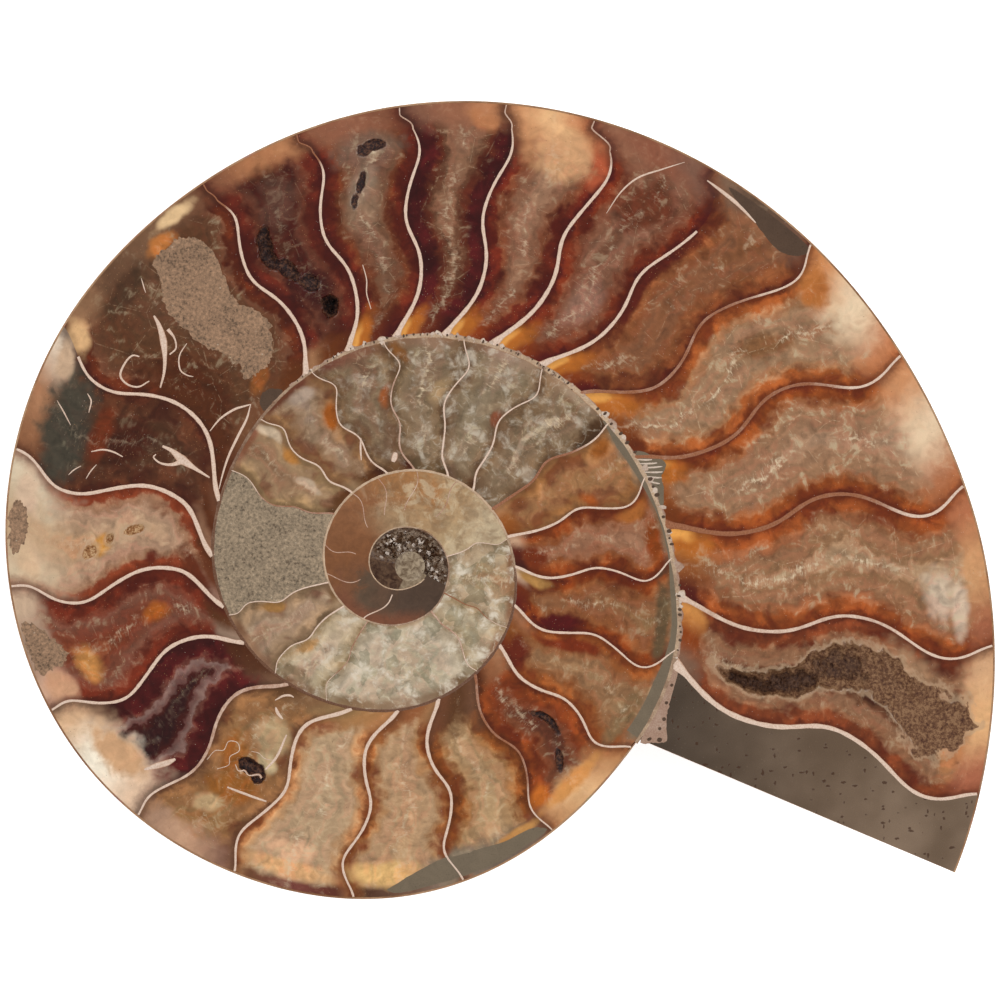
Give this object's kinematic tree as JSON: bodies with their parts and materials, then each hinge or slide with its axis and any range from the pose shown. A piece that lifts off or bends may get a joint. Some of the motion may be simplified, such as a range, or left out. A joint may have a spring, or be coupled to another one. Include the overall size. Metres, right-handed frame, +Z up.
{
  "type": "ammonite fossil half",
  "caption": "Sawn and polished half of a fossil ammonite: flat chambered spiral face above, rounded natural flank with a sunken middle below, straight saw cut at the wide end.",
  "frame": {"origin": "on the ground, under the middle of the box around the object", "axes": "+Z up, out of the polished face; +X towards the wide, straight-sawn end of the last whorl; +Y completes the frame"},
  "size_m": [0.1286, 0.1038, 0.017],
  "materials": {
    "polished_stone": "mineral-filled fossil shell, sawn face polished to a gloss, flank with a natural waxy sheen"
  },
  "bodies": {
    "root": {"ammonite_half": "polished_stone"}
  },
  "joints": []
}
